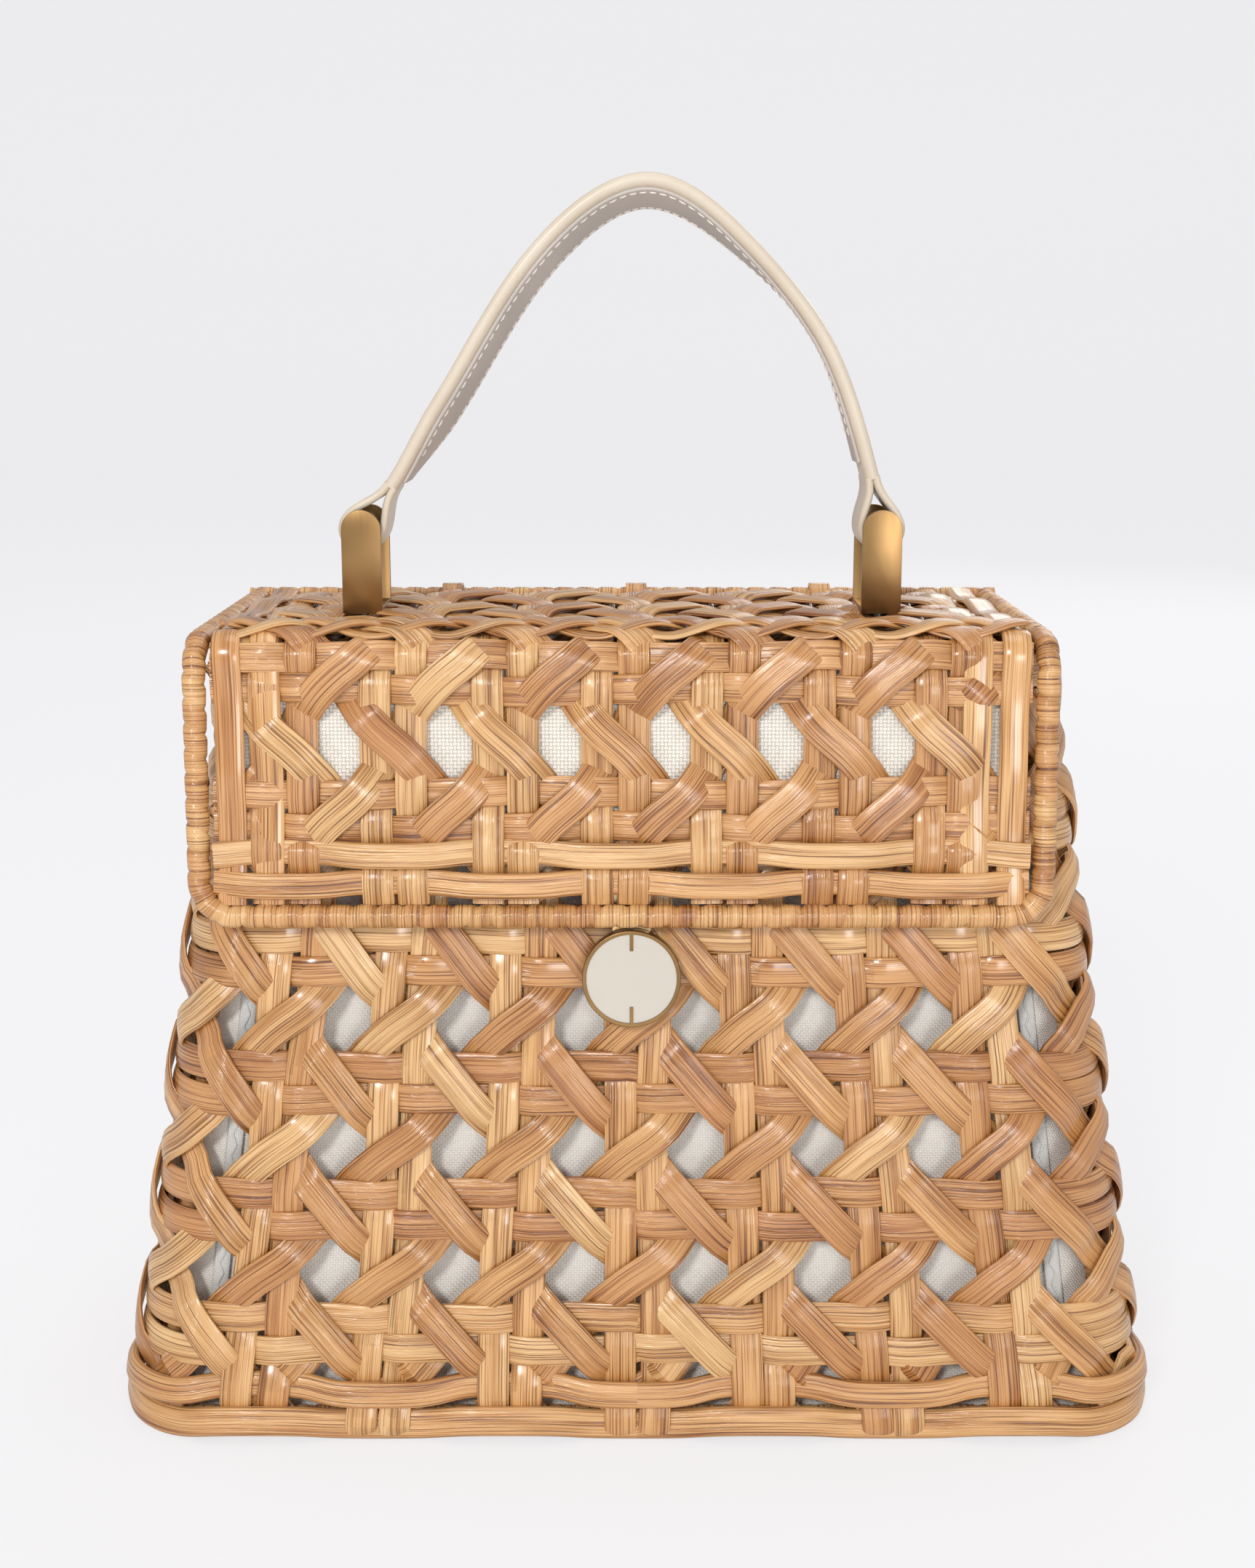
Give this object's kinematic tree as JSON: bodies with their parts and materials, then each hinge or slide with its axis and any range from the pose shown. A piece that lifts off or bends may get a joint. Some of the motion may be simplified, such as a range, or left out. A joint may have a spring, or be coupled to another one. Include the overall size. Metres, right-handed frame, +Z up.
{
  "type": "basket box bag",
  "caption": "Tapered woven cane box bag with a hinged flap lid, canvas lining, leather strap handle on brass brackets and a round clasp.",
  "frame": {"origin": "middle of the flat underside of the basket", "axes": "+Z up, -Y towards the front with the clasp, +X to the right as seen from the front"},
  "size_m": [0.2794, 0.1218, 0.3221],
  "materials": {
    "cane": "varnished cane strip, semi-gloss",
    "canvas": "natural cotton canvas",
    "leather": "smooth cream leather",
    "brass": "brushed antique brass",
    "enamel": "smooth cream enamel",
    "steel": "plain"
  },
  "bodies": {
    "basket": {"basket_weave": "cane", "foot_strand_lower": "cane", "foot_strand_upper": "cane", "rim_hoop": "cane", "base_hoop": "cane", "basket_lining": "canvas", "strike_plate": "brass", "strike_washer": "brass", "corner_post_front_left": "cane", "corner_post_front_right": "cane", "corner_post_back_left": "cane", "corner_post_back_right": "cane", "seam_tape_front_left": "canvas", "seam_tape_front_right": "canvas", "seam_tape_back_left": "canvas", "seam_tape_back_right": "canvas", "hinge_loop_left": "cane", "hinge_loop_middle": "cane", "hinge_loop_right": "cane"},
    "lid": {"lid_weave": "cane", "lid_border": "cane", "lid_lining": "canvas", "hinge_rod": "cane", "clasp_tab": "brass", "handle_strap": "leather", "handle_inner_strip": "leather", "bracket_left": "brass", "bracket_pin_left": "brass", "backing_plate_left": "steel", "bracket_screws_left": "steel", "bracket_right": "brass", "bracket_pin_right": "brass", "backing_plate_right": "steel", "bracket_screws_right": "steel"},
    "clasp_knob": {"clasp_disc": "brass", "clasp_enamel": "enamel", "clasp_cam": "brass"}
  },
  "joints": [
    {"name": "lid_hinge", "type": "hinge", "parent": "basket", "child": "lid", "pos_m": [-0.004, 0.0476, 0.2099], "axis": [-1, 0, 0], "range_deg": [0, 110]},
    {"name": "clasp_turn", "type": "hinge", "parent": "lid", "child": "clasp_knob", "pos_m": [-0.0015, -0.05279, 0.12547], "axis": [0, -0.998, 0.063], "range_deg": [0, 90]}
  ]
}
